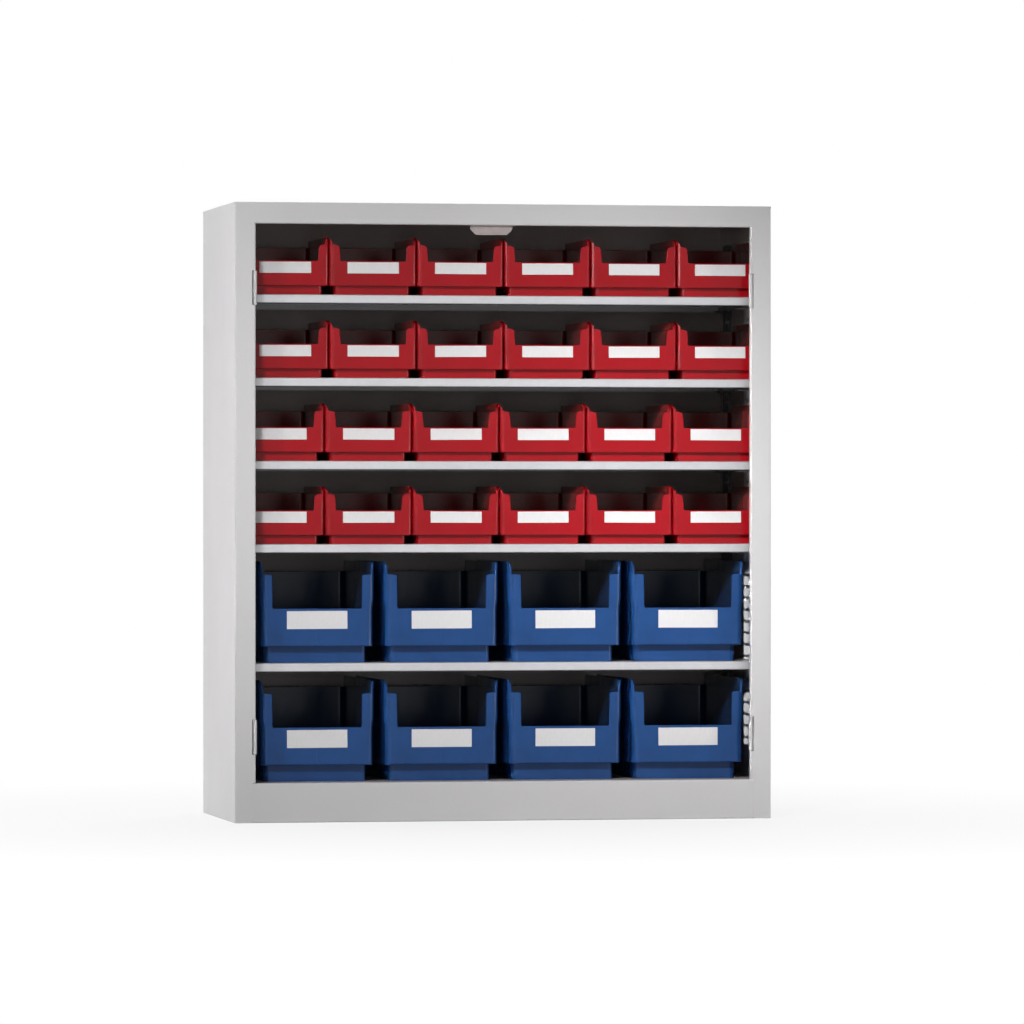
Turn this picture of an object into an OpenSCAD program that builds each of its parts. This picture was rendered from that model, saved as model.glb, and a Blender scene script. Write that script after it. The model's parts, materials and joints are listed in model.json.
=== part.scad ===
// Steel parts cabinet with an open front, five shelves and six rows of open-fronted plastic bins.
// Millimetres, +Z up, origin at the middle of the base, front towards -Y.
// The bins set the size: the cabinet's width, depth and height follow from them and from the clearances.

/* [Sheet steel] */
// Thickness of the cabinet and shelf sheet
sheet_t = 1; // [0.8:0.1:1.5]
// Bend radius at the middle of the sheet
bend_r = 1.5; // [1:0.1:2.5]

/* [Front frame] */
// Face width of each upright stile
stile_w = 26.5; // [20:0.5:40]
// Face height of the top rail
rail_h = 27; // [20:0.5:40]
// How far the stiles and the top rail turn back into the cabinet
frame_depth = 8; // [7:0.5:14]
// Height of the lip turned up behind the top rail
rail_lip_h = 15; // [12:0.5:18]
// Height of the plinth, up to the cabinet floor
plinth_h = 50; // [30:1:90]
// How far the plinth reaches past the inner edge of each stile
plinth_lap = 4; // [2:0.5:8]
// Gap left around the ends and the top of the plinth
plinth_gap = 0.1; // [0:0.1:1]
// Width of the flanges turned in at the back, under the sides and under the floor
flange_w = 15; // [10:1:25]

/* [Red bins] */
// Bins in a red row
red_cols = 6; // [2:1:8]
// Width over the stacking rails
red_w = 111.7; // [90:0.1:130]
// Length from front to back
red_l = 165; // [120:1:200]
// Height to the top of the stacking rails
red_rail_h = 73; // [60:0.5:90]
// Height of the side, back and front posts
red_rim_h = 65; // [50:0.5:80]
// Height of the low front wall
red_front_h = 43.5; // [30:0.5:55]
// Height of the narrower foot
red_foot_h = 11; // [8:0.5:16]
// How far the foot is set in from each side
red_foot_in = 8.1; // [4:0.1:10]
// Width of the posts beside the front opening
red_post_w = 13.9; // [8:0.1:18]
// Wall of a red bin
red_wall = 2; // [1.6:0.1:3]
// Width of the label pocket
red_label_w = 66.5; // [50:0.5:75]
// Height of the label pocket
red_label_h = 15; // [10:0.5:18]
// Gap between red bins
red_gap = 0.6; // [0.4:0.1:8]
// How far the upper two red rows stand to the right of the middle
red_upper_shift = 3.7; // [0:0.1:6]
// How far the lower two red rows stand to the left of the middle
red_lower_shift = 2; // [0:0.5:6]
// Least gap between a red row and the perforated strips
red_side_gap = 0.4; // [0.4:0.1:10]

/* [Blue bins] */
// Bins in a blue row
blue_cols = 4; // [2:1:6]
// Width over the stacking rails
blue_w = 146.5; // [120:0.5:170]
// Length from front to back
blue_l = 235; // [200:1:300]
// Height to the top of the stacking rails
blue_rail_h = 128; // [100:0.5:150]
// Height of the side, back and front posts
blue_rim_h = 113.5; // [90:0.5:135]
// Height of the low front wall
blue_front_h = 70; // [50:0.5:85]
// Height of the narrower foot
blue_foot_h = 22; // [14:0.5:28]
// How far the foot is set in from each side
blue_foot_in = 7.8; // [4:0.1:10]
// Width of the posts beside the front opening
blue_post_w = 16.4; // [10:0.1:22]
// Wall of a blue bin
blue_wall = 2.5; // [2:0.1:3.5]
// Width of the label pocket
blue_label_w = 78.5; // [60:0.5:100]
// Height of the label pocket
blue_label_h = 24.5; // [14:0.5:28]
// Gap between blue bins
blue_gap = 13.1; // [2:0.1:20]
// How far both blue rows stand to the right of the middle
blue_shift = 3; // [0:0.5:6]
// Least gap between a blue row and what lines the front opening
blue_side_gap = 1; // [1:0.1:10]

/* [Both bins] */
// Chamfer at the upright corners of a bin
bin_corner = 4.5; // [3:0.5:8]
// Chamfer at the upper corners of the front opening
post_chamfer = 4; // [2:0.5:7]
// How far the foot is set back behind the front wall
foot_setback = 7; // [4:0.5:10]
// How far the foot is set in at the back
foot_rear_in = 4; // [2:0.5:10]
// How far behind the front wall the stacking rails begin
rail_start = 5; // [4.5:0.5:20]
// Depth of the label pocket
label_depth = 0.6; // [0.3:0.1:1]
// Distance from the top of the front wall down to the label pocket
label_drop = 2; // [1:0.5:4]
// Distance of the bins and the shelf edges behind the cabinet front
bin_setback = 25; // [24.5:0.5:40]
// Free depth left behind the longest bins
rear_gap = 23; // [5:1:60]
// Least free height above a bin
head_room = 10; // [6:0.5:30]
// Free height between the top row of bins and the lower edge of the top rail
top_gap = 15; // [14:0.5:40]

/* [Shelves] */
// Height of the folded edge of a shelf
shelf_edge_h = 11.5; // [10:0.5:20]
// Depth of the lip turned in under the front edge of a shelf
shelf_lip = 10; // [5:0.5:20]
// Gap between a shelf and the strips beside it
shelf_side_gap = 0.75; // [0.4:0.05:2]
// Gap between a shelf and the back panel
shelf_rear_gap = 3; // [1:0.5:8]

/* [Shelf strips] */
// Spacing of the slots in the perforated strips
slot_pitch = 15; // [12:0.5:20]
// Height of a slot
slot_h = 4; // [3:0.1:6]
// Width of a slot
slot_w = 21; // [18:0.5:24]
// Width of the raised web of a strip
strip_w = 30; // [28:0.5:40]
// Sheet thickness of a strip
strip_t = 1; // [0.8:0.1:1.5]
// How far the web stands off the side panel
strip_stand = 3.3; // [3.3:0.1:5]
// Width of the flanges welded to the side panel
strip_flange = 9; // [6:0.5:12]
// Distance from the cabinet front to the middle of the front strips
strip_front = 121; // [90:1:140]
// Distance from the cabinet back to the middle of the rear strips
strip_rear = 40; // [30:1:60]
// Distance from the floor up to the lower end of the strips
strip_foot = 40; // [20:1:80]
// Distance from the cabinet top down to the upper end of the strips
strip_head = 40; // [20:1:60]
// Length of strip left solid beyond the end slots
strip_end = 4; // [3:0.5:10]

/* [Shelf clips] */
// Width of a clip
clip_w = 16; // [12:0.5:17.5]
// Thickness of a clip
clip_t = 1.5; // [1.2:0.1:2]
// Reach of the tongue under the shelf
clip_reach = 14; // [8:0.5:20]
// Height of the leg that leans on the strip
clip_leg_h = 9; // [6:0.5:10]
// Drop of the hook behind the strip
clip_hook_h = 6; // [4:0.5:8]
// Gap between the hook and the back of the strip
clip_gap = 0.3; // [0.2:0.05:0.5]

/* [Lock keeper] */
// Width of the keeper plate
keeper_w = 54; // [40:1:70]
// Thickness of the keeper plate
keeper_t = 2; // [1.5:0.1:3]
// How far the keeper hangs below the top rail
keeper_hang = 12; // [8:0.5:13]
// How far the keeper stands to the left of the middle
keeper_off = 16; // [0:1:40]
// Chamfer at the lower corners of the keeper
keeper_chamfer = 7; // [3:0.5:8]
// Distance between the two keeper rivets
rivet_spacing = 34; // [20:1:40]
// Shank radius of a keeper rivet
rivet_r = 2; // [1.5:0.1:2.5]
// Head radius of a keeper rivet
rivet_head_r = 3.6; // [3:0.1:4.5]
// Head height of a keeper rivet
rivet_head_h = 1.3; // [0.8:0.1:2]
// Radial gap between a rivet and its holes
rivet_gap = 0.1; // [0.05:0.05:0.2]

/* [Door hinges] */
// Height of a hinge knuckle
hinge_h = 43; // [30:1:60]
// Distance from the cabinet base or top to the middle of a hinge
hinge_in = 108; // [80:1:150]
// Outer radius of a hinge knuckle
knuckle_r = 2.5; // [2.2:0.1:3]
// How far a knuckle stands into the front opening
knuckle_proud = 1.8; // [0:0.1:2.4]
// How far a knuckle sits behind the cabinet front
knuckle_sink = 0.2; // [0.1:0.1:0.5]
// Radius of the hinge pin
pin_r = 1.45; // [1.2:0.05:1.6]
// Radial gap between a pin and its knuckle
pin_gap = 0.05; // [0.02:0.01:0.1]
// Thickness of the hinge leaf
leaf_t = 1.5; // [1.2:0.1:2]
// Width of the hinge leaf behind the stile, from the stile's inner edge
leaf_w = 14; // [12:0.5:16]
// Width of the foot by which the leaf is welded to the stile
leaf_foot_w = 6; // [4:0.5:6]
// Gap beside a knuckle in the stile's notch
notch_side = 1.4; // [0.5:0.1:2]
// Gap above, below and behind a knuckle in the stile's notch
notch_gap = 0.5; // [0.3:0.1:1]

/* [Hidden] */
$fn = 48;
// Margin by which a cut runs past the face it opens
past = 1;
red_rows = 4;
blue_rows = 2;
rows = red_rows + blue_rows;
upper_rows = 2;

// Heights: each shelf hangs on a whole number of slot spacings above the floor
red_row_slots = ceil((red_rail_h + shelf_edge_h + head_room) / slot_pitch);
blue_row_slots = ceil((blue_rail_h + shelf_edge_h + head_room) / slot_pitch);
function rows_below(row) = rows - row;
function row_slots(row) =
    min(rows_below(row), blue_rows) * blue_row_slots + max(rows_below(row) - blue_rows, 0) * red_row_slots;
function row_z(row) = plinth_h + row_slots(row) * slot_pitch;
rail_z = row_z(1) + red_rail_h + top_gap;
cabinet_h = rail_z + rail_h;

// Widths: the tighter of the red rows between the strips and the blue rows between the stiles
red_row_w = red_cols * red_w + (red_cols - 1) * red_gap;
blue_row_w = blue_cols * blue_w + (blue_cols - 1) * blue_gap;
red_space = red_row_w + 2 * (strip_stand + red_side_gap + max(red_upper_shift, red_lower_shift));
blue_space = blue_row_w + 2 * (stile_w - sheet_t + knuckle_proud + blue_side_gap + blue_shift);
inner_w = max(red_space, blue_space);
half_in = inner_w / 2;
half_w = half_in + sheet_t;
half_open = half_w - stile_w;

// Depths: the longest bin, the space behind it, the back panel and the flanges behind that
cabinet_d = bin_setback + max(red_l, blue_l) + rear_gap + 2 * sheet_t;
front_y = -cabinet_d / 2;
back_y = cabinet_d / 2;
back_panel_y = back_y - 2 * sheet_t;
bin_y = front_y + bin_setback;
shelf_l = back_panel_y - shelf_rear_gap - bin_y;

// Outer and inner bend radius of the sheet
outer_r = bend_r + sheet_t / 2;
inner_r = bend_r - sheet_t / 2;
// Half the length of the plinth, and of the rail, which covers the bends of the stiles
half_plinth = half_open + plinth_lap;
half_rail = half_open + outer_r;
// Height of the folded front edge of the top
top_edge_h = outer_r + sheet_t;

function red_shift(row) = row <= upper_rows ? red_upper_shift : -red_lower_shift;
function red_x(row, col) = red_shift(row) - red_row_w / 2 + red_w / 2 + (col - 1) * (red_w + red_gap);
function blue_x(col) = blue_shift - blue_row_w / 2 + blue_w / 2 + (col - 1) * (blue_w + blue_gap);
function red_name(row, col) = str("red_bin_", row, "_", col);
function blue_name(row, col) = str("blue_bin_", row, "_", col);
function shelf_name(row) = str("shelf_", row);
function clips_name(row) = str("shelf_clips_", row);

// Lower edge of the slot that carries a shelf at a given number of slot spacings
function slot_z(n) = plinth_h + n * slot_pitch - shelf_edge_h - clip_t;
strip_z0 = plinth_h + strip_foot;
strip_z1 = cabinet_h - strip_head;
slot_first = ceil((strip_z0 + strip_end - slot_z(0)) / slot_pitch);
slot_last = floor((strip_z1 - strip_end - slot_h - slot_z(0)) / slot_pitch);

shelf_rows = [1 : rows - 1];
red_row_list = [1 : red_rows];
blue_row_list = [red_rows + 1 : rows];

// Mirrors its children to the left side when side is -1
module on_side(side) {
    mirror([side < 0 ? 1 : 0, 0, 0]) children();
}

// Turns an outline drawn in Y and Z into a bar of the given length along X
module bar_x(length) {
    translate([-length / 2, 0, 0]) rotate([90, 0, 90]) linear_extrude(length) children();
}

// Turns an outline drawn in X and Z into a bar that runs back from y0
module bar_y(y0, length) {
    translate([0, y0 + length, 0]) rotate([90, 0, 0]) linear_extrude(length) children();
}

module block(low, high) {
    translate(low) cube(high - low);
}

function direction(a, b) = (b - a) / norm(b - a);

// Outline of a sheet of thickness t folded at right angles along the points, which lie mid-sheet
module folded(points, t, r) {
    last = len(points) - 1;
    for (i = [0 : last - 1]) {
        along = direction(points[i], points[i + 1]);
        across = [-along.y, along.x] * t / 2;
        start = points[i] + along * (i == 0 ? 0 : r);
        end = points[i + 1] - along * (i + 1 == last ? 0 : r);
        polygon([start - across, end - across, end + across, start + across]);
    }
    for (i = [1 : 1 : last - 1]) {
        into = direction(points[i - 1], points[i]);
        out = direction(points[i], points[i + 1]);
        centre = points[i] + (out - into) * r;
        reach = r + t;
        intersection() {
            difference() {
                translate(centre) circle(r + t / 2);
                translate(centre) circle(r - t / 2);
            }
            polygon([centre, centre - out * reach, centre + (into - out) * reach, centre + into * reach]);
        }
    }
}

module hinge_notch(z) {
    half = hinge_h / 2 + notch_gap;
    block(
        [half_open - past, front_y - past, z - half],
        [knuckle_x + knuckle_r + notch_side, knuckle_y + knuckle_r + notch_gap, z + half]
    );
}

module side_panel() {
    mid = sheet_t / 2;
    outline = [
        [half_open + mid, front_y + frame_depth],
        [half_open + mid, front_y + mid],
        [half_w - mid, front_y + mid],
        [half_w - mid, back_y - mid],
        [half_w - flange_w, back_y - mid]
    ];
    difference() {
        union() {
            linear_extrude(cabinet_h - sheet_t) folded(outline, sheet_t, bend_r);
            block([half_in - flange_w, front_y + frame_depth, 0], [half_in + mid, back_panel_y, sheet_t]);
        }
        // The folded front edge of the top covers the head of the stile
        block(
            [half_open - past, front_y - past, cabinet_h - top_edge_h],
            [half_w + past, front_y + outer_r, cabinet_h]
        );
        // The ends of the rail take the place of the stile's bend and return
        block(
            [half_open - past, front_y - past, rail_z],
            [half_rail, front_y + frame_depth + past, cabinet_h]
        );
        // The plinth passes in front of the foot of the stile
        block(
            [half_open - past, front_y - past, -past],
            [half_plinth + plinth_gap, front_y + frame_depth + past, plinth_h + plinth_gap]
        );
        hinge_notch(hinge_in);
        hinge_notch(cabinet_h - hinge_in);
    }
}

module left_side_panel() {
    color("gainsboro") on_side(-1) side_panel();
}

module right_side_panel() {
    color("gainsboro") on_side(1) side_panel();
}

module rivet_holes(y0, y1) {
    for (side = [-1, 1])
        translate([-keeper_off + side * rivet_spacing / 2, y0, rail_z + rail_lip_h / 2])
            rotate([-90, 0, 0]) cylinder(h = y1 - y0, r = rivet_r + rivet_gap);
}

module top_panel() {
    mid = sheet_t / 2;
    lip_y = front_y + frame_depth - mid;
    edge = [
        [front_y + mid, cabinet_h - top_edge_h],
        [front_y + mid, cabinet_h - mid],
        [back_y, cabinet_h - mid]
    ];
    rail = [
        [lip_y, rail_z + rail_lip_h],
        [lip_y, rail_z + mid],
        [front_y + mid, rail_z + mid],
        [front_y + mid, cabinet_h - outer_r]
    ];
    color("gainsboro") difference() {
        union() {
            bar_x(2 * half_w) folded(edge, sheet_t, bend_r);
            bar_x(2 * half_rail) folded(rail, sheet_t, bend_r);
            block(
                [-half_w + flange_w + sheet_t, back_y - sheet_t, cabinet_h - flange_w],
                [half_w - flange_w - sheet_t, back_y, cabinet_h - mid]
            );
        }
        rivet_holes(front_y + frame_depth - sheet_t - past, front_y + frame_depth + past);
    }
}

module floor_panel() {
    mid = sheet_t / 2;
    front_fold = [
        [front_y + flange_w, mid],
        [front_y + mid, mid],
        [front_y + mid, plinth_h - mid],
        [back_panel_y, plinth_h - mid]
    ];
    wide_y = front_y + frame_depth + sheet_t;
    color("gainsboro") {
        bar_x(2 * half_plinth) folded(front_fold, sheet_t, bend_r);
        block([-half_in, wide_y, plinth_h - sheet_t], [half_in, back_panel_y, plinth_h]);
        block([-half_in, back_panel_y - sheet_t, plinth_h - flange_w], [half_in, back_panel_y, plinth_h]);
        for (side = [-1, 1])
            on_side(side)
                block([half_in - sheet_t, wide_y, plinth_h - flange_w], [half_in, back_panel_y, plinth_h]);
    }
}

// The back panel stops where the bends into the rear flanges begin
module back_panel() {
    half = half_in - inner_r;
    color("dimgray")
        block([-half, back_panel_y, 0], [half, back_panel_y + sheet_t, cabinet_h - sheet_t]);
}

// A shelf's folded tray: front edge with a lip, and a plain edge at the back and both sides
module shelf(row) {
    mid = sheet_t / 2;
    top = row_z(row);
    low = top - shelf_edge_h;
    half = half_in - strip_stand - shelf_side_gap;
    rear = bin_y + shelf_l;
    outline = [
        [bin_y + shelf_lip, low + mid],
        [bin_y + mid, low + mid],
        [bin_y + mid, top - mid],
        [rear - mid, top - mid],
        [rear - mid, low]
    ];
    color("silver") {
        bar_x(2 * half) folded(outline, sheet_t, bend_r);
        for (side = [-1, 1])
            on_side(side)
                block([half - sheet_t, bin_y + outer_r, low], [half, rear - outer_r, top - mid]);
    }
}

// Hat-shaped strip with a ladder of slots, on the right side panel
module strip(y) {
    wall = half_in - strip_t / 2;
    web = half_in - strip_stand + strip_t / 2;
    edge = strip_w / 2;
    difference() {
        translate([0, 0, strip_z0]) linear_extrude(strip_z1 - strip_z0) {
            for (side = [-1, 1])
                translate([wall, y + side * (edge + strip_flange / 2)])
                    square([strip_t, strip_flange], center = true);
            for (side = [-1, 1])
                translate([(wall + web) / 2, y + side * (edge - strip_t / 2)])
                    square([strip_stand, strip_t], center = true);
            translate([web, y]) square([strip_t, strip_w], center = true);
        }
        for (n = [slot_first : slot_last])
            block(
                [web - strip_t, y - slot_w / 2, slot_z(n)],
                [web + strip_t, y + slot_w / 2, slot_z(n) + slot_h]
            );
    }
}

front_strip_y = front_y + strip_front;
rear_strip_y = back_y - strip_rear;

module front_strip_left() {
    color("lightgray") on_side(-1) strip(front_strip_y);
}

module front_strip_right() {
    color("lightgray") on_side(1) strip(front_strip_y);
}

module rear_strip_left() {
    color("lightgray") on_side(-1) strip(rear_strip_y);
}

module rear_strip_right() {
    color("lightgray") on_side(1) strip(rear_strip_y);
}

// Clip hooked into a slot: a tongue under the shelf, a leg on the strip and a hook behind it
module clip(z) {
    face = half_in - strip_stand;
    hook = face + strip_t + clip_gap;
    under = z - clip_t;
    polygon([
        [face - clip_reach, z],
        [hook + clip_t, z],
        [hook + clip_t, under - clip_hook_h],
        [hook, under - clip_hook_h],
        [hook, under],
        [face, under],
        [face, under - clip_leg_h],
        [face - clip_t, under - clip_leg_h],
        [face - clip_t, under],
        [face - clip_reach, under]
    ]);
}

module shelf_clips(row) {
    color("lightgray")
        for (side = [-1, 1])
            for (y = [front_strip_y, rear_strip_y])
                on_side(side) bar_y(y - clip_w / 2, clip_w) clip(row_z(row) - shelf_edge_h);
}

module lock_keeper() {
    top = rail_z + rail_lip_h;
    low = rail_z - keeper_hang;
    half = keeper_w / 2;
    keeper_y = front_y + frame_depth;
    color("gainsboro") difference() {
        translate([-keeper_off, 0, 0]) bar_y(keeper_y, keeper_t) polygon([
            [-half, top],
            [-half, low + keeper_chamfer],
            [-half + keeper_chamfer, low],
            [half - keeper_chamfer, low],
            [half, low + keeper_chamfer],
            [half, top]
        ]);
        rivet_holes(keeper_y - past, keeper_y + keeper_t + past);
    }
}

module keeper_rivets() {
    y0 = front_y + frame_depth - sheet_t;
    grip = sheet_t + keeper_t;
    color("silver")
        for (side = [-1, 1])
            translate([-keeper_off + side * rivet_spacing / 2, y0, rail_z + rail_lip_h / 2])
                rotate([-90, 0, 0]) {
                    cylinder(h = grip, r = rivet_r);
                    translate([0, 0, -rivet_head_h]) cylinder(h = rivet_head_h, r = rivet_head_r);
                    translate([0, 0, grip]) cylinder(h = rivet_head_h, r = rivet_head_r);
                }
}

knuckle_x = half_open - knuckle_proud + knuckle_r;
knuckle_y = front_y + knuckle_sink + knuckle_r;

// Frame half of a door hinge: a rolled knuckle in the stile's notch and a leaf welded behind the stile
module hinge(z) {
    low = z - hinge_h / 2;
    leaf_x = half_open + leaf_w;
    leaf_y = knuckle_y + knuckle_r;
    difference() {
        union() {
            translate([knuckle_x, knuckle_y, low]) cylinder(h = hinge_h, r = knuckle_r);
            block([knuckle_x, leaf_y - leaf_t, low], [leaf_x, leaf_y, low + hinge_h]);
            block([leaf_x - leaf_foot_w, front_y + sheet_t, low], [leaf_x, leaf_y, low + hinge_h]);
        }
        translate([knuckle_x, knuckle_y, low - past]) cylinder(h = hinge_h + 2 * past, r = pin_r + pin_gap);
    }
}

module upper_hinge_left() {
    color("gainsboro") on_side(-1) hinge(cabinet_h - hinge_in);
}

module upper_hinge_right() {
    color("gainsboro") on_side(1) hinge(cabinet_h - hinge_in);
}

module lower_hinge_left() {
    color("gainsboro") on_side(-1) hinge(hinge_in);
}

module lower_hinge_right() {
    color("gainsboro") on_side(1) hinge(hinge_in);
}

module hinge_pins() {
    color("silver")
        for (side = [-1, 1])
            for (z = [hinge_in, cabinet_h - hinge_in])
                on_side(side)
                    translate([knuckle_x, knuckle_y, z - hinge_h / 2]) cylinder(h = hinge_h, r = pin_r);
}

// Plan of a bin or of its inside, with chamfered corners, from y0 to y1
module bin_plan(width, y0, y1, corner) {
    half = width / 2;
    polygon([
        [-half + corner, y0],
        [half - corner, y0],
        [half, y0 + corner],
        [half, y1 - corner],
        [half - corner, y1],
        [-half + corner, y1],
        [-half, y1 - corner],
        [-half, y0 + corner]
    ]);
}

// Open-fronted stacking bin, front face at y = 0 and foot on z = 0
module bin(width, length, rail_h, rim_h, front_h, foot_h, foot_in, post_w, wall, label_w, label_h) {
    inner_corner = bin_corner - wall * tan(22.5);
    foot_w = width - 2 * foot_in;
    foot_y0 = foot_setback;
    foot_y1 = length - foot_rear_in;
    opening = width / 2 - post_w;
    label_top = front_h - label_drop;
    difference() {
        union() {
            translate([0, 0, foot_h]) linear_extrude(rim_h - foot_h) bin_plan(width, 0, length, bin_corner);
            linear_extrude(foot_h) bin_plan(foot_w, foot_y0, foot_y1, bin_corner);
            for (side = [-1, 1])
                on_side(side)
                    block([width / 2 - wall, rail_start, rim_h], [width / 2, length - bin_corner, rail_h]);
        }
        translate([0, 0, foot_h + wall])
            linear_extrude(rim_h - foot_h) bin_plan(width - 2 * wall, wall, length - wall, inner_corner);
        translate([0, 0, wall])
            linear_extrude(foot_h) bin_plan(foot_w - 2 * wall, foot_y0 + wall, foot_y1 - wall, inner_corner);
        // The front opening, wider at the top where the posts are chamfered
        bar_y(-past, past + wall + bin_corner) polygon([
            [-opening, front_h],
            [opening, front_h],
            [opening, rim_h - post_chamfer],
            [opening + post_chamfer, rim_h],
            [opening + post_chamfer, rail_h],
            [-opening - post_chamfer, rail_h],
            [-opening - post_chamfer, rim_h],
            [-opening, rim_h - post_chamfer]
        ]);
        block([-label_w / 2, -past, label_top - label_h], [label_w / 2, label_depth, label_top]);
    }
}

module red_bin(row, col) {
    color("firebrick")
        translate([red_x(row, col), bin_y, row_z(row)])
            bin(red_w, red_l, red_rail_h, red_rim_h, red_front_h, red_foot_h, red_foot_in, red_post_w,
                red_wall, red_label_w, red_label_h);
}

module blue_bin(row, col) {
    color("royalblue")
        translate([blue_x(col), bin_y, row_z(row)])
            bin(blue_w, blue_l, blue_rail_h, blue_rim_h, blue_front_h, blue_foot_h, blue_foot_in, blue_post_w,
                blue_wall, blue_label_w, blue_label_h);
}

left_side_panel();
right_side_panel();
top_panel();
floor_panel();
back_panel();
front_strip_left();
front_strip_right();
rear_strip_left();
rear_strip_right();
for (row = shelf_rows) shelf(row);
for (row = shelf_rows) shelf_clips(row);
lock_keeper();
keeper_rivets();
upper_hinge_left();
upper_hinge_right();
lower_hinge_left();
lower_hinge_right();
hinge_pins();
for (row = red_row_list)
    for (col = [1 : red_cols])
        red_bin(row, col);
for (row = blue_row_list)
    for (col = [1 : blue_cols])
        blue_bin(row, col);
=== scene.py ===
import json
import math
import random

import bmesh
import bpy
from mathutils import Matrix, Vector


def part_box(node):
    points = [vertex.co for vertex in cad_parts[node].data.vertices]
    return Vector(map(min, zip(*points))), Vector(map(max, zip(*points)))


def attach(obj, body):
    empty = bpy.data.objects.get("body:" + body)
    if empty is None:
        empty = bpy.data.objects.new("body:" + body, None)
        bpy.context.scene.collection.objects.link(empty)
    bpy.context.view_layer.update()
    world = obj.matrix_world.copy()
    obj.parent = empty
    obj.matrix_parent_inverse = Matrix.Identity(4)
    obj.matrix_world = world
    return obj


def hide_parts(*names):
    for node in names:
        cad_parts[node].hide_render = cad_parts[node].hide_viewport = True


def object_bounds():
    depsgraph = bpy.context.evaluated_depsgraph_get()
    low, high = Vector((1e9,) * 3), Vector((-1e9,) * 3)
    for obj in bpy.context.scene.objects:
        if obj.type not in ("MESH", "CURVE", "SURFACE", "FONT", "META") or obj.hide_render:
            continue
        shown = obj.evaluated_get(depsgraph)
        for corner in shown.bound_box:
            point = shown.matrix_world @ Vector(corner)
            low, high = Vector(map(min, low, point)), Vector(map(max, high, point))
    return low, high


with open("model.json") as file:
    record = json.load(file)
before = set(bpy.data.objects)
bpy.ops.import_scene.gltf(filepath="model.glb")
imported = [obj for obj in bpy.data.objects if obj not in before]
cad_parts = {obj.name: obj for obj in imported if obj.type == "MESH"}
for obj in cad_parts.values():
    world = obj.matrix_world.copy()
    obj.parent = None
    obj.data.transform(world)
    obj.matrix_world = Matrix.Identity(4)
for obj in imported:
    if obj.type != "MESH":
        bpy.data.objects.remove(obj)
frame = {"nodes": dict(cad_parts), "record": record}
cad_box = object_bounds()
random.seed(7)

MM = 0.001


# Bins: sizes in millimetres, seen from the front, as in the part's source

class Bin:
    """The sizes of one family of bins. Width, length and height come from the CAD node."""

    wall_round = 0.5        # rounding of every moulded edge
    fillet = 1.6            # inner radius where the front wall meets a post
    lip = 1.2               # rounding under the body, above the foot
    foot_rear_in = 4.0
    rail_ramp = 3.0         # length over which the stacking rail falls at the back
    rail_climb = 12.0       # length over which it climbs from the neck
    pocket_depth = 0.6

    def __init__(self, node, **sizes):
        low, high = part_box(node)
        self.width, self.length, self.rail = (high - low) / MM
        self.__dict__.update(sizes)
        self.half = self.width / 2
        self.opening = self.half - self.post
        self.label_top = self.front - self.label_drop
        self.label_low = self.label_top - self.label_h


RED = Bin(
    "red_bin_1_1", rim=65, front=42.5, foot=11, foot_in=7.3, foot_setback=9,
    post=13.9, post_top=62.6, post_rise=0.9, wall=2.0, lean=1.0, corner=6.0, flare=0.15, flare_rise=7.0,
    neck_w=3.6, neck_curve=0.15, neck_drop=4.0, shoulder_w=4.0, shoulder_h=3.6,
    label_drop=1.0, label_w=66.5, label_h=15, rib_w=0, rib_h=0, rib_x=(),
)
BLUE = Bin(
    "blue_bin_5_1", rim=113.5, front=68.6, foot=21, foot_in=7.8, foot_setback=18,
    post=16.4, post_top=111, post_rise=0.6, wall=2.5, lean=0.5, corner=8.5, flare=1.6, flare_rise=11.0,
    neck_w=3.4, neck_curve=0.4, neck_drop=1.5, shoulder_w=2.0, shoulder_h=1.8,
    label_drop=2.6, label_w=78, label_h=23.4, rib_w=4.6, rib_h=16, rib_x=(0.0, 45.5),
)


def quarter(steps=6):
    """Angles from 0 to 90 degrees."""
    return [math.pi / 2 * i / steps for i in range(steps + 1)]


def neck_angle(b, share):
    """The angle round the front corner at that share of the way up the neck, from the post to the side."""
    return math.asin(1 - b.neck_w * (1 - share) / b.corner)


def neck_height(b, angle):
    """The height of the wall at that angle round the front corner: the post's top, then the rail's neck."""
    share = max(1 - b.corner * (1 - math.sin(angle)) / b.neck_w, 0.0)
    top = b.post_top + b.post_rise
    return top + (b.rail - b.neck_drop - top) * share ** b.neck_curve


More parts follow.
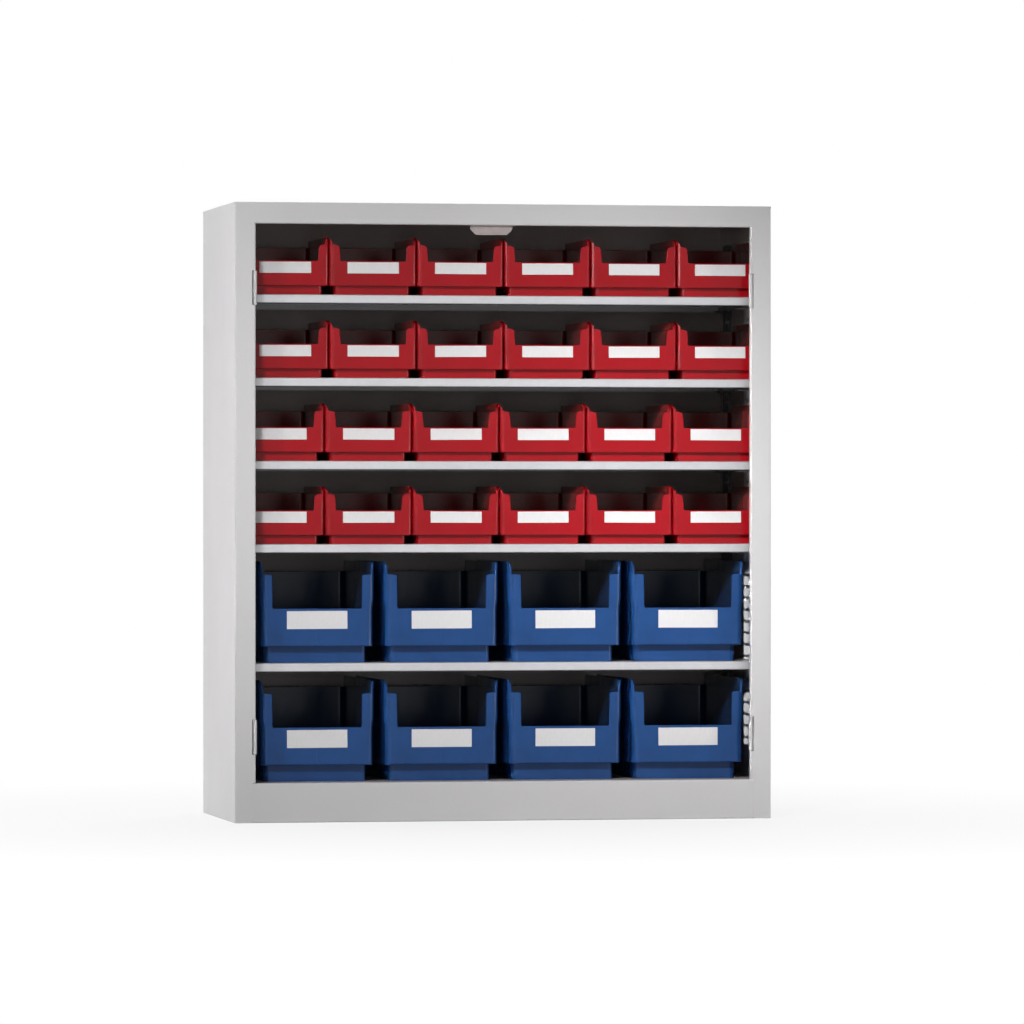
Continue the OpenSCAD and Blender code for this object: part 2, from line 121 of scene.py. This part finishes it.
def half_outline(b):
    """Round the right half of a bin, front to back: (outer point, inner point, height of the wall)."""
    columns = []

    def across_front(x, top):
        columns.append(((x, 0.0), (x, b.wall), top))

    breaks = {0.0, b.label_w / 2}
    for x in b.rib_x:
        breaks.update(abs(x + side * b.rib_w / 2) for side in (-1, 1))
    for x in sorted(breaks):
        across_front(x, b.front)
    for a in quarter(4):
        across_front(b.opening - b.fillet * (1 - math.sin(a)), b.front + b.fillet * (1 - math.cos(a)))
    for a in quarter(5):
        across_front(
            b.opening + b.lean + b.shoulder_w * (1 - math.cos(a)),
            b.post_top - b.shoulder_h * (1 - math.sin(a)),
        )

    inner = b.corner - b.wall
    middle = (b.half - b.corner, b.corner)
    for a in sorted(quarter() + [neck_angle(b, share) for share in (0.0, 0.05, 0.2, 0.5)]):
        s, c = math.sin(a), math.cos(a)
        columns.append((
            (middle[0] + b.corner * s, middle[1] - b.corner * c),
            (middle[0] + inner * s, middle[1] - inner * c),
            neck_height(b, a),
        ))

    def along_side(y, height):
        columns.append(((b.half, y), (b.half - b.wall, y), height))

    along_side(b.corner + b.rail_climb, b.rail)
    along_side(b.length / 2, b.rail)
    rail_end = b.length - b.corner - b.rail_ramp
    for a in quarter(4):
        along_side(rail_end + b.rail_ramp * (1 - math.cos(a)), b.rail - (b.rail - b.rim) * math.sin(a))

    back = b.length - b.corner
    for a in quarter()[1:]:
        s, c = math.sin(a), math.cos(a)
        columns.append((
            (middle[0] + b.corner * c, back + b.corner * s),
            (middle[0] + inner * c, back + inner * s),
            b.rim,
        ))
    columns.append(((0.0, b.length), (0.0, b.length - b.wall), b.rim))
    return columns


def full_outline(b):
    right = half_outline(b)

    def mirrored(column):
        (ox, oy), (ix, iy), top = column
        return (-ox, oy), (-ix, iy), top

    return right + [mirrored(c) for c in reversed(right[1:-1])]


def bin_profile(b, column):
    """The points of one upright cut through the wall, from under the foot up, over and down inside."""
    (ox, oy), (ix, iy), top = column
    narrow = 1 - b.foot_in / b.half
    shorter = 1 - (b.foot_setback + b.foot_rear_in) / b.length

    def foot(x, y, inset):
        """A point of the body's outline moved in to the foot's outline."""
        reach = 1 - inset / b.half
        middle = b.length / 2
        y = b.foot_setback + y * shorter
        return x * narrow * reach, middle + (y - middle) * (1 - inset / middle)

    def body(z):
        closed = 1 - min(max((z - b.front) / b.flare_rise, 0), 1)
        share = max(abs(ox) - b.opening, 0) / b.post
        return ox - math.copysign(b.flare * closed * share, ox), oy, z

    foot_x, foot_y = foot(ox, oy, 0)
    foot_ix, foot_iy = foot(ox, oy, b.wall)
    drawn_in = b.lip / b.wall
    points = [
        (foot_x, foot_y, 0),
        (foot_x, foot_y, b.foot),
        (ox + (ix - ox) * drawn_in, oy + (iy - oy) * drawn_in, b.foot),
    ]
    levels = [
        b.foot + b.lip, b.foot + b.lip + b.rib_h, b.label_low, b.label_top,
        b.front, b.front + b.flare_rise, b.rail,
    ]
    points += [body(min(z, top)) for z in levels]
    points += [
        (ix, iy, top),
        (ix, iy, b.foot + b.wall),
        (foot_ix, foot_iy, b.foot + b.wall),
        (foot_ix, foot_iy, b.wall),
    ]
    return points


def front_faces(bm, x0, x1, z0, z1):
    """The faces of the front wall's outside in a rectangle, in millimetres."""
    found = []
    for face in bm.faces:
        xs, ys, zs = zip(*((v.co / MM) for v in face.verts))
        inside = min(xs) > x0 - 0.01 and max(xs) < x1 + 0.01 and min(zs) > z0 - 0.01 and max(zs) < z1 + 0.01
        if inside and max(ys) < 0.01:
            found.append(face)
    return found


def bin_mesh(name, b):
    """One moulded bin, front face at y = 0, foot on z = 0."""
    bm = bmesh.new()
    made = {}

    def vert(point):
        key = tuple(round(c, 4) for c in point)
        if key not in made:
            made[key] = bm.verts.new(Vector(point) * MM)
        return made[key]

    def face(points):
        verts = list(dict.fromkeys(vert(p) for p in points))
        if len(verts) > 2:
            bm.faces.new(verts)

    cuts = [bin_profile(b, c) for c in full_outline(b)]
    for near, far in zip(cuts, cuts[1:] + cuts[:1]):
        for k in range(len(near) - 1):
            face((near[k], far[k], far[k + 1], near[k + 1]))
    face([cut[0] for cut in cuts])
    face([cut[-1] for cut in cuts])
    bmesh.ops.recalc_face_normals(bm, faces=bm.faces[:])

    half_label = b.label_w / 2
    pocket = front_faces(bm, -half_label, half_label, b.label_low, b.label_top)
    bmesh.ops.inset_region(
        bm, faces=pocket, thickness=0.2 * MM, depth=-b.pocket_depth * MM,
        use_even_offset=True, use_boundary=True,
    )
    low = b.foot + b.lip
    for x in {side * x for x in b.rib_x for side in (-1, 1)}:
        rib = front_faces(bm, x - b.rib_w / 2, x + b.rib_w / 2, low, low + b.rib_h)
        bmesh.ops.inset_region(
            bm, faces=rib, thickness=0.9 * MM, depth=0.35 * MM, use_even_offset=True, use_boundary=True,
        )
    mesh = bpy.data.meshes.new(name)
    bm.to_mesh(mesh)
    bm.free()
    mesh.shade_smooth()
    return rounded(mesh, b.wall_round * MM)


def rounded(mesh, width):
    """The mesh with its sharp edges rounded and its flat faces kept flat."""
    obj = bpy.data.objects.new("rounding", mesh)
    bpy.context.scene.collection.objects.link(obj)
    bevel = obj.modifiers.new("edges", "BEVEL")
    bevel.width = width
    bevel.segments = 2
    bevel.limit_method = "ANGLE"
    bevel.angle_limit = math.radians(35)
    bevel.use_clamp_overlap = False
    obj.modifiers.new("normals", "WEIGHTED_NORMAL")
    graph = bpy.context.evaluated_depsgraph_get()
    result = bpy.data.meshes.new_from_object(obj.evaluated_get(graph), depsgraph=graph)
    result.name = mesh.name
    bpy.data.objects.remove(obj)
    bpy.data.meshes.remove(mesh)
    return result


# Label cards

CARD_THICK = 0.3
CARD_GAP = 0.4       # card to pocket edge
CARD_CORNER = 0.4
CARD_TILT = 0.3      # degrees
CARD_SEAT = 0.02     # play between the card and the back of its pocket


def card_mesh(name, b):
    """A blank card with rounded corners that stands in a bin's pocket."""
    half_w = b.label_w / 2 - CARD_GAP
    half_h = b.label_h / 2 - CARD_GAP
    outline = []
    for turn, (sx, sz) in enumerate(((1, 1), (-1, 1), (-1, -1), (1, -1))):
        for a in quarter(4):
            angle = a + turn * math.pi / 2
            outline.append((
                sx * (half_w - CARD_CORNER) + CARD_CORNER * math.cos(angle),
                sz * (half_h - CARD_CORNER) + CARD_CORNER * math.sin(angle),
            ))
    bm = bmesh.new()
    rings = [[bm.verts.new(Vector((x, y, z)) * MM) for x, z in outline] for y in (0.0, CARD_THICK)]
    bm.faces.new(rings[0])
    bm.faces.new(rings[1])
    for i in range(len(outline)):
        j = (i + 1) % len(outline)
        bm.faces.new((rings[0][i], rings[0][j], rings[1][j], rings[1][i]))
    bmesh.ops.recalc_face_normals(bm, faces=bm.faces[:])
    mesh = bpy.data.meshes.new(name)
    bm.to_mesh(mesh)
    bm.free()
    return mesh


# Shelf strips: sizes in millimetres, as in the part's source

STRIP_SHEET = 1.0
STRIP_FLANGE = 9.0
STRIP_END = 4.0      # least length left solid beyond the end slots
STRIP_ROUND = 0.15
SLOT_PITCH = 15.0
SLOT_H = 4.0
CLIP_THICK = 1.5     # a shelf's clip fills the lower part of its slot


def slot_heights(foot, length):
    """The lower edges of a strip's slots, from its foot up."""
    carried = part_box("shelf_5")[0].z / MM - CLIP_THICK - foot
    height = carried % SLOT_PITCH
    if height < STRIP_END:
        height += SLOT_PITCH
    heights = []
    while height + SLOT_H + STRIP_END <= length:
        heights.append(height)
        height += SLOT_PITCH
    return heights


def folded(bm, outer, inner, low, high):
    """A length of folded sheet between two lines seen from above."""
    foot_out, foot_in, head_out, head_in = (
        [bm.verts.new((x, y, z)) for x, y in line] for z in (low, high) for line in (outer, inner)
    )
    for i, j in zip(range(len(outer) - 1), range(1, len(outer))):
        bm.faces.new((foot_out[i], foot_out[j], head_out[j], head_out[i]))
        bm.faces.new((foot_in[i], foot_in[j], head_in[j], head_in[i]))
        bm.faces.new((foot_out[i], foot_out[j], foot_in[j], foot_in[i]))
        bm.faces.new((head_out[i], head_out[j], head_in[j], head_in[i]))
    for i in (0, -1):
        bm.faces.new((foot_out[i], foot_in[i], head_in[i], head_out[i]))


def strip_mesh(node):
    """A hat-shaped strip whose slots run right across it, so that it shows as a ladder of plates."""
    low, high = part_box(node)
    stand, width, length = (high - low) / MM
    side = 1 if low.x > 0 else -1
    edge = width / 2 - STRIP_FLANGE
    sheet = STRIP_SHEET
    bm = bmesh.new()

    def lay(outer, inner, z0, z1):
        folded(bm, [(side * x, y) for x, y in outer], [(side * x, y) for x, y in inner], z0, z1)

    for end in (-1, 1):
        ys = (end * edge, end * width / 2)
        lay([(-sheet, y) for y in ys], [(0, y) for y in ys], 0, length)
    outer = [(0, edge), (-stand, edge), (-stand, -edge), (0, -edge)]
    fold = edge - sheet
    inner = [(0, fold), (sheet - stand, fold), (sheet - stand, -fold), (0, -fold)]
    start = 0
    for height in slot_heights(low.z / MM, length):
        lay(outer, inner, start, height)
        start = height + SLOT_H
    lay(outer, inner, start, length)

    bmesh.ops.recalc_face_normals(bm, faces=bm.faces[:])
    bmesh.ops.scale(bm, vec=(MM, MM, MM), verts=bm.verts[:])
    wall = high.x if side > 0 else low.x
    bmesh.ops.translate(bm, vec=(wall, (low.y + high.y) / 2, low.z), verts=bm.verts[:])
    mesh = bpy.data.meshes.new(node + ".slotted")
    bm.to_mesh(mesh)
    bm.free()
    mesh.shade_smooth()
    return rounded(mesh, STRIP_ROUND * MM)


# Finishes

class Finish:
    """A node material on the principled shader, with the node chains that the finishes share."""

    def __init__(self, name, **constants):
        self.material = bpy.data.materials.new(name)
        self.material.use_nodes = True
        self.tree = self.material.node_tree
        self.shader = self.tree.nodes["Principled BSDF"]
        for socket, value in constants.items():
            self.shader.inputs[socket.replace("_", " ")].default_value = value
        self.coords = self.tree.nodes.new("ShaderNodeTexCoord")
        self.height = None

    def node(self, kind, settings=(), **inputs):
        """A new node with its settings made, and its inputs set or linked."""
        made = self.tree.nodes.new(kind)
        for key, value in dict(settings).items():
            setattr(made, key, value)
        for key, value in inputs.items():
            socket = made.inputs[int(key[1:])] if key[1:].isdigit() else made.inputs[key.replace("_", " ")]
            if isinstance(value, bpy.types.NodeSocket):
                self.tree.links.new(value, socket)
            else:
                socket.default_value = value
        return made

    def place(self, stretch=(1, 1, 1)):
        """Object coordinates in metres, stretched along an axis where a number is below 1."""
        return self.node(
            "ShaderNodeMapping", Vector=self.coords.outputs["Object"], Scale=stretch
        ).outputs["Vector"]

    def noise(self, size, detail=2.0, stretch=(1, 1, 1)):
        """Cloudy noise with features of about that size in metres."""
        return self.node(
            "ShaderNodeTexNoise", Vector=self.place(stretch), Scale=1 / size, Detail=detail
        ).outputs["Fac"]

    def cells(self, size):
        """A number for each crystal-like cell of about that size in metres."""
        cell = self.node("ShaderNodeTexVoronoi", Vector=self.place(), Scale=1 / size)
        return self.node("ShaderNodeSeparateColor", Color=cell.outputs["Color"]).outputs["Red"]

    def along(self, axis):
        """The object coordinate along X, Y or Z, in metres."""
        return self.node("ShaderNodeSeparateXYZ", Vector=self.coords.outputs["Object"]).outputs[axis]

    def turned(self, axis):
        """How far the surface faces along X, Y or Z, from -1 to 1."""
        return self.node("ShaderNodeSeparateXYZ", Vector=self.coords.outputs["Normal"]).outputs[axis]

    def looks_at(self, point):
        """1 on the faces that look towards a point, and 0 elsewhere."""
        place, normal = self.coords.outputs["Object"], self.coords.outputs["Normal"]
        way = self.node("ShaderNodeVectorMath", {"operation": "SUBTRACT"}, i0=tuple(point), i1=place)
        facing = self.node(
            "ShaderNodeVectorMath", {"operation": "DOT_PRODUCT"}, i0=way.outputs["Vector"], i1=normal
        ).outputs["Value"]
        return self.math("GREATER_THAN", facing, 0.0)

    def math(self, operation, a, b):
        return self.node("ShaderNodeMath", {"operation": operation}, i0=a, i1=b).outputs["Value"]

    def span(self, value, low, high, start=0.3, end=0.7):
        """The value's range from start to end, spread from low to high."""
        return self.node(
            "ShaderNodeMapRange", Value=value,
            From_Min=start, From_Max=end, To_Min=low, To_Max=high,
        ).outputs["Result"]

    def tint(self, share, first, second):
        """Colours mixed by a share from 0 to 1."""
        return self.node(
            "ShaderNodeMix", {"data_type": "RGBA"}, i0=share, i6=first, i7=second
        ).outputs[2]

    def scaled(self, colour, amount):
        """A colour made lighter or darker by a number near 1."""
        grey = self.node("ShaderNodeCombineColor", Red=amount, Green=amount, Blue=amount).outputs["Color"]
        return self.node(
            "ShaderNodeMix", {"data_type": "RGBA", "blend_type": "MULTIPLY"}, i0=1.0, i6=colour, i7=grey
        ).outputs[2]

    def feed(self, socket, output):
        self.tree.links.new(output, self.shader.inputs[socket])

    def colour(self, output):
        self.feed("Base Color", output)

    def roughness(self, output):
        self.feed("Roughness", output)

    def relief(self, height, depth):
        """Adds a relief of that depth in metres, over those added before."""
        bump = self.node("ShaderNodeBump", Height=height, Distance=depth)
        if self.height:
            self.tree.links.new(self.height, bump.inputs["Normal"])
        self.height = bump.outputs["Normal"]
        self.tree.links.new(self.height, self.shader.inputs["Normal"])


def rgb(r, g, b):
    return (r, g, b, 1.0)


PAINT = rgb(0.68, 0.668, 0.674)
# Painted shade and painted reflection: the inside paint is darker than the outside, and warmer from the
# bins' red
PAINT_SHADED_INSIDE = rgb(0.57, 0.51, 0.49)
# Painted highlight: near-white paint on the bends along the stiles' inner edges
PAINT_HIGHLIGHT = rgb(0.92, 0.91, 0.91)
STILE_EDGE = 5 * MM      # from the hinges' inner edge to behind the stiles' bends
HIGHLIGHT_DEPTH = 1.6 * MM    # how far back the painted highlight on the bends reaches
INSIDE_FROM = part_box("lock_keeper")[0].y + 2 * MM      # where the front frame ends and the painted shade of the inside begins


def cabinet_shade_share(f):
    """1 on the faces that look into the cabinet behind its front frame, which get painted shade, and 0
    elsewhere.
    """
    low, high = cad_box
    behind = f.math("GREATER_THAN", f.along("Y"), INSIDE_FROM)
    return f.math("MULTIPLY", f.looks_at((low + high) / 2), behind)


def painted_edge_highlight(f):
    """1 on the bends along the inner edges of the stiles, where the painted highlight goes, and 0
    elsewhere.
    """
    half_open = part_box("upper_hinge_right")[0].x + STILE_EDGE
    near = f.math("LESS_THAN", f.math("ABSOLUTE", f.along("X"), 0.0), half_open)
    front = f.math("LESS_THAN", f.along("Y"), cad_box[0].y + HIGHLIGHT_DEPTH)
    bent = f.math("GREATER_THAN", f.math("ABSOLUTE", f.turned("X"), 0.0), 0.45)
    return f.math("MULTIPLY", f.math("MULTIPLY", near, front), bent)


def powder_coat(name, with_highlight):
    """Light grey powder coat, with painted shade inside the cabinet, and a painted highlight on the inner
    bends of the stiles if asked.
    """
    f = Finish(name, Specular_IOR_Level=0.4)
    cloud = f.span(f.noise(0.25), 0.965, 1.03)
    speckle = f.span(f.noise(0.0009, 1.0), 0.985, 1.015)
    # painted highlight: the stiles' inner bends are made near white
    frame_coat = f.tint(painted_edge_highlight(f), PAINT, PAINT_HIGHLIGHT) if with_highlight else PAINT
    # painted shade: the paint inside the cabinet is darker and warmer, standing in for its shade and the
    # bins' reflected red
    shaded_coat = f.tint(cabinet_shade_share(f), frame_coat, PAINT_SHADED_INSIDE)
    f.colour(f.scaled(f.scaled(shaded_coat, cloud), speckle))
    f.roughness(f.span(f.noise(0.06, 4.0), 0.30, 0.38))
    f.relief(f.noise(0.0016, 2.0), 0.00003)
    f.relief(f.noise(0.35, 1.0), 0.0006)
    return f.material


UNDERSIDE_SHADE = 0.08         # painted shade: how dark the faces that look down are made


def galvanised():
    """Bright galvanised sheet with its crystal pattern, and painted shade on the faces that look down."""
    f = Finish("galvanised_sheet")
    spangle = f.span(f.cells(0.006), 0.97, 1.02, 0, 1)
    streak = f.span(f.noise(0.012, 3.0, (0.08, 1, 1)), 0.98, 1.02)
    tone = f.tint(f.span(f.noise(0.16), 0, 1), rgb(0.55, 0.55, 0.57), rgb(0.60, 0.60, 0.62))
    down = f.turned("Z")
    # painted shade: the undersides are darkened, and their shine is taken away
    painted_shade = f.span(down, UNDERSIDE_SHADE, 1.0, -0.9, -0.1)
    f.feed("Metallic", f.span(down, 0.0, 0.45, -0.9, -0.1))
    f.feed("Specular IOR Level", f.span(down, 0.0, 0.5, -0.9, -0.1))
    f.colour(f.scaled(f.scaled(f.scaled(tone, spangle), streak), painted_shade))
    f.roughness(f.span(f.cells(0.006), 0.42, 0.48, 0, 1))
    f.relief(f.noise(0.004, 3.0, (0.1, 1, 1)), 0.00003)
    return f.material


ZINC_SHADE = 0.15         # painted shade: tone of the zinc at the back of the cabinet
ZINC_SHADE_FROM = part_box("front_strip_right")[1].y
ZINC_SHADE_REACH = 40 * MM     # distance behind the front strips at which that tone is reached


def zinc():
    """Zinc plating with fine drawn lines, bright on the front strips and darkened behind them with painted
    shade.
    """
    f = Finish("zinc_plate", Metallic=0.1)
    lines = f.noise(0.0012, 2.0, (1, 1, 0.05))
    # painted shade: zinc further back in the cabinet is darkened
    painted_shade = f.span(f.along("Y"), 1.0, ZINC_SHADE, ZINC_SHADE_FROM, ZINC_SHADE_FROM + ZINC_SHADE_REACH)
    plate = f.tint(f.noise(0.03), rgb(0.80, 0.80, 0.80), rgb(0.88, 0.88, 0.88))
    f.colour(f.scaled(f.scaled(plate, f.span(lines, 0.95, 1.04)), painted_shade))
    f.roughness(f.span(lines, 0.30, 0.44))
    f.relief(lines, 0.00001)
    return f.material


SHADE_REACH = 40 * MM    # distance behind a bin's front at which its inner faces reach their painted shade


def inside_shade_share(f, b):
    """0 outside a bin and at its front, rising to 1 on its inner faces further in, where painted shade
    goes.
    """
    deep = f.span(f.along("Y"), 0, 1, b.wall * MM, SHADE_REACH)
    return f.math("MULTIPLY", f.looks_at((0, b.length / 2 * MM, b.rail * MM)), deep)


def moulded(name, b, dark, light, inside, rough):
    """Moulded plastic: flow clouds, fine grain, light scuffs, a small difference between pieces, and
    painted shade on the inner faces.
    """
    f = Finish(name, Specular_IOR_Level=0.22)
    piece = f.node("ShaderNodeObjectInfo").outputs["Random"]
    flow = f.noise(0.045, 2.5)
    body = f.tint(f.span(flow, 0, 1), dark, light)
    scuffs = f.noise(0.011, 5.0, (1, 1, 0.25))
    tone = f.math("MULTIPLY", f.span(piece, 0.95, 1.05, 0, 1), f.span(scuffs, 0.985, 1.02))
    # painted shade: the inner faces are tinted towards the inside colour
    f.colour(f.scaled(f.tint(inside_shade_share(f, b), body, inside), tone))
    f.roughness(f.span(scuffs, rough - 0.05, rough + 0.07))
    f.relief(f.noise(0.0007, 1.0), 0.000008)
    f.relief(f.noise(0.06, 1.0), 0.0005)
    return f.material


def card_paper():
    """Matt white card with faint fibres."""
    f = Finish("label_card", Roughness=0.75, Specular_IOR_Level=0.2)
    fibres = f.span(f.noise(0.003, 4.0, (1, 1, 0.4)), 0, 1)
    f.colour(f.tint(fibres, rgb(0.78, 0.765, 0.775), rgb(0.81, 0.80, 0.805)))
    f.relief(f.noise(0.0008, 2.0), 0.000004)
    return f.material


def keeper_plastic():
    """Matt warm grey plastic."""
    f = Finish("keeper_plastic", Specular_IOR_Level=0.3)
    f.colour(f.tint(f.span(f.noise(0.006, 3.0), 0, 1), rgb(0.40, 0.345, 0.338), rgb(0.45, 0.39, 0.383)))
    f.roughness(f.span(f.noise(0.004, 3.0), 0.45, 0.6))
    f.relief(f.noise(0.0006, 1.0), 0.00001)
    return f.material


FINISHES = {
    "cabinet_paint": powder_coat("cabinet_paint", True),
    "galvanised_sheet": galvanised(),
    "zinc_plate": zinc(),
    "keeper_plastic": keeper_plastic(),
    "red_plastic": moulded(
        "red_plastic", RED, dark=rgb(0.34, 0.004, 0.009), light=rgb(0.40, 0.006, 0.013),
        # inside: painted shade for the inner faces, darker and greyer than the red
        inside=rgb(0.25, 0.024, 0.022), rough=0.16,
    ),
    "blue_plastic": moulded(
        "blue_plastic", BLUE, dark=rgb(0.012, 0.062, 0.21), light=rgb(0.017, 0.075, 0.25),
        # inside: painted shade for the inner faces, darker than the blue
        inside=rgb(0.015, 0.042, 0.105), rough=0.20,
    ),
}
HINGE_COAT = powder_coat("hinge_paint", False)
CARD = card_paper()


# Pieces

EDGE_ROUND = 0.25 * MM
KEEPER_ROUND = 1.2 * MM
# These meet face to face on the front, where the coat runs over the joints
SEAMLESS = ("left_side_panel", "right_side_panel", "top_panel", "floor_panel")


def soften(node, width):
    """Rounds the cut edges of a CAD node."""
    obj = frame["nodes"][node]
    weld = obj.modifiers.new("weld", "WELD")
    weld.merge_threshold = 1e-5
    flat = obj.modifiers.new("flat", "DECIMATE")
    flat.decimate_type = "DISSOLVE"
    flat.angle_limit = math.radians(0.5)
    edges = obj.modifiers.new("edges", "BEVEL")
    edges.width = width
    edges.segments = 2
    edges.limit_method = "ANGLE"
    edges.angle_limit = math.radians(40)
    obj.modifiers.new("normals", "WEIGHTED_NORMAL")


def place_bin(node, b, mesh, card):
    """The moulded bin that stands for a CAD node, and the card in its pocket."""
    low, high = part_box(node)
    front = Vector(((low.x + high.x) / 2, low.y, low.z))
    obj = bpy.data.objects.new(node + ".moulded", mesh)
    obj.location = front
    bpy.context.scene.collection.objects.link(obj)
    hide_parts(node)
    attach(obj, node)

    label = bpy.data.objects.new(node + ".card", card)
    drop = (b.label_top + b.label_low) / 2
    seat = b.pocket_depth - CARD_THICK - CARD_SEAT
    label.location = front + Vector((0, seat, drop)) * MM
    label.rotation_euler.y = math.radians(random.uniform(-CARD_TILT, CARD_TILT))
    bpy.context.scene.collection.objects.link(label)
    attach(label, node)
    return obj


def place_strip(node):
    """The slotted strip that stands for a CAD node."""
    mesh = strip_mesh(node)
    mesh.materials.append(FINISHES["zinc_plate"])
    obj = bpy.data.objects.new(node + ".slotted", mesh)
    bpy.context.scene.collection.objects.link(obj)
    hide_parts(node)
    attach(obj, "cabinet")
    return obj


families = {
    "red_plastic": (RED, bin_mesh("red_bin", RED), card_mesh("red_card", RED)),
    "blue_plastic": (BLUE, bin_mesh("blue_bin", BLUE), card_mesh("blue_card", BLUE)),
}
for slot, (b, mesh, card) in families.items():
    mesh.materials.append(FINISHES[slot])
    card.materials.append(CARD)

strips = {}
for subpart in frame["record"]["subparts"]:
    node, slot = subpart["node"], subpart["material_slot"]
    obj = frame["nodes"][node]
    obj.data.materials.clear()
    obj.data.materials.append(HINGE_COAT if "_hinge_" in node else FINISHES[slot])
    if slot in families:
        place_bin(node, *families[slot])
    elif "_strip_" in node:
        strips[node] = place_strip(node)
    elif node not in SEAMLESS:
        soften(node, KEEPER_ROUND if node == "lock_keeper" else EDGE_ROUND)


# Stage, light and camera

AMBIENT = 0.045
FLOOR_SIZE = 120.0
SHADOW_KEPT = 0.25       # how much of its shading the floor shows by the object
SHADOW_REACH = 1.1       # distance in metres at which the floor has faded to white


def background_rays(tree):
    """1 for rays from the camera, and for those that mirrors and glass send on."""
    path = tree.nodes.new("ShaderNodeLightPath")
    share = path.outputs["Is Camera Ray"]
    for name in ("Is Glossy Ray", "Is Transmission Ray"):
        either = tree.nodes.new("ShaderNodeMath")
        either.operation = "MAXIMUM"
        tree.links.new(share, either.inputs[0])
        tree.links.new(path.outputs[name], either.inputs[1])
        share = either.outputs["Value"]
    return share


def ranged(tree, share, low, high):
    spread = tree.nodes.new("ShaderNodeMapRange")
    spread.inputs["To Min"].default_value = low
    spread.inputs["To Max"].default_value = high
    tree.links.new(share, spread.inputs["Value"])
    return spread.outputs["Result"]


def make_world():
    world = bpy.data.worlds.new("studio")
    world.use_nodes = True
    tree = world.node_tree
    sky = tree.nodes["Background"]
    sky.inputs["Color"].default_value = rgb(1, 1, 1)
    tree.links.new(ranged(tree, background_rays(tree), AMBIENT, 1.0), sky.inputs["Strength"])
    bpy.context.scene.world = world


def make_floor():
    half = FLOOR_SIZE / 2
    mesh = bpy.data.meshes.new("floor")
    corners = [(-half, -half, 0), (half, -half, 0), (half, half, 0), (-half, half, 0)]
    mesh.from_pydata(corners, [], [(0, 1, 2, 3)])
    material = bpy.data.materials.new("floor")
    material.use_nodes = True
    tree = material.node_tree
    pale = tree.nodes["Principled BSDF"]
    pale.inputs["Base Color"].default_value = rgb(0.8, 0.8, 0.8)
    pale.inputs["Roughness"].default_value = 0.9
    white = tree.nodes.new("ShaderNodeEmission")
    mix = tree.nodes.new("ShaderNodeMixShader")
    coords = tree.nodes.new("ShaderNodeTexCoord")
    away = tree.nodes.new("ShaderNodeVectorMath")
    away.operation = "LENGTH"
    tree.links.new(coords.outputs["Object"], away.inputs[0])
    fade = ranged(tree, away.outputs["Value"], 1 - SHADOW_KEPT, 1.0)
    fade.node.inputs["From Max"].default_value = SHADOW_REACH
    cover = tree.nodes.new("ShaderNodeMath")
    cover.operation = "MULTIPLY"
    tree.links.new(fade, cover.inputs[0])
    tree.links.new(background_rays(tree), cover.inputs[1])
    tree.links.new(cover.outputs["Value"], mix.inputs["Fac"])
    tree.links.new(pale.outputs["BSDF"], mix.inputs[1])
    tree.links.new(white.outputs["Emission"], mix.inputs[2])
    tree.links.new(mix.outputs["Shader"], tree.nodes["Material Output"].inputs["Surface"])
    mesh.materials.append(material)
    floor = bpy.data.objects.new("floor", mesh)
    bpy.context.scene.collection.objects.link(floor)


def softbox(name, place, aim, size, watts, glossy=True, spread=180, only=()):
    """A rectangular lamp, with a grid that narrows its beam if the spread is below 180 degrees.

    One that isn't glossy gives no highlights. If objects are given, it lights these alone.
    """
    light = bpy.data.lights.new(name, "AREA")
    light.shape = "RECTANGLE"
    light.size, light.size_y = size
    light.energy = watts
    light.spread = math.radians(spread)
    obj = bpy.data.objects.new(name, light)
    obj.location = place
    obj.rotation_euler = (Vector(aim) - Vector(place)).to_track_quat("-Z", "Y").to_euler()
    obj.visible_camera = False
    obj.visible_glossy = glossy
    if only:
        lit = bpy.data.collections.new(name + "_lit")
        for piece in only:
            lit.objects.link(piece)
        obj.light_linking.receiver_collection = lit
    bpy.context.scene.collection.objects.link(obj)


def make_camera():
    """The photograph's view: a long lens far off, a little to the left, at half the cabinet's height."""
    yaw, pitch = math.radians(10.82), math.radians(-0.068)
    data = bpy.data.cameras.new("camera")
    data.sensor_width = 36.0
    data.lens = 222.35
    data.clip_end = 300.0
    camera = bpy.data.objects.new("camera", data)
    camera.location = (-1.4928, -8.0, 0.40)
    camera.rotation_euler = (math.pi / 2 + pitch, 0.0, -yaw)
    bpy.context.scene.collection.objects.link(camera)
    bpy.context.scene.camera = camera


make_world()
make_floor()
softbox("main", (-2.1, -4.0, 2.1), (0.02, 0, 0.33), (1.2, 0.3), 1.65, spread=16)
softbox("grid", (-1.06, -2.6, 1.58), (0.20, -0.12, 0.44), (0.3, 0.5), 0.30, glossy=False, spread=10)
softbox("line", (-0.66, -4.3, 0.42), (0, 0, 0.42), (0.3, 1.3), 4)
softbox(
    "strip", (-0.28, -2.8, 1.1), (0.34, 0, 0.2), (0.2, 0.2), 2.6, glossy=False, spread=14,
    only=[strips["front_strip_right"]],
)
softbox("left", (-3.2, -0.5, 0.9), (0, 0, 0.4), (1.0, 1.3), 15)
softbox("edge", (-2.2, -1.3, 1.1), (-0.1, 0, 0.3), (0.08, 0.9), 14)
softbox("right", (2.6, -1.4, 0.5), (0, 0, 0.4), (0.15, 1.2), 14)
softbox("back", (1.2, 2.6, 1.8), (0, 0, 0.4), (1.2, 1.2), 50, glossy=False)
softbox("top", (-0.3, 0.5, 3.2), (0, 0, 0.78), (1.2, 1.2), 20)
make_camera()
bpy.context.scene.view_settings.view_transform = "Standard"
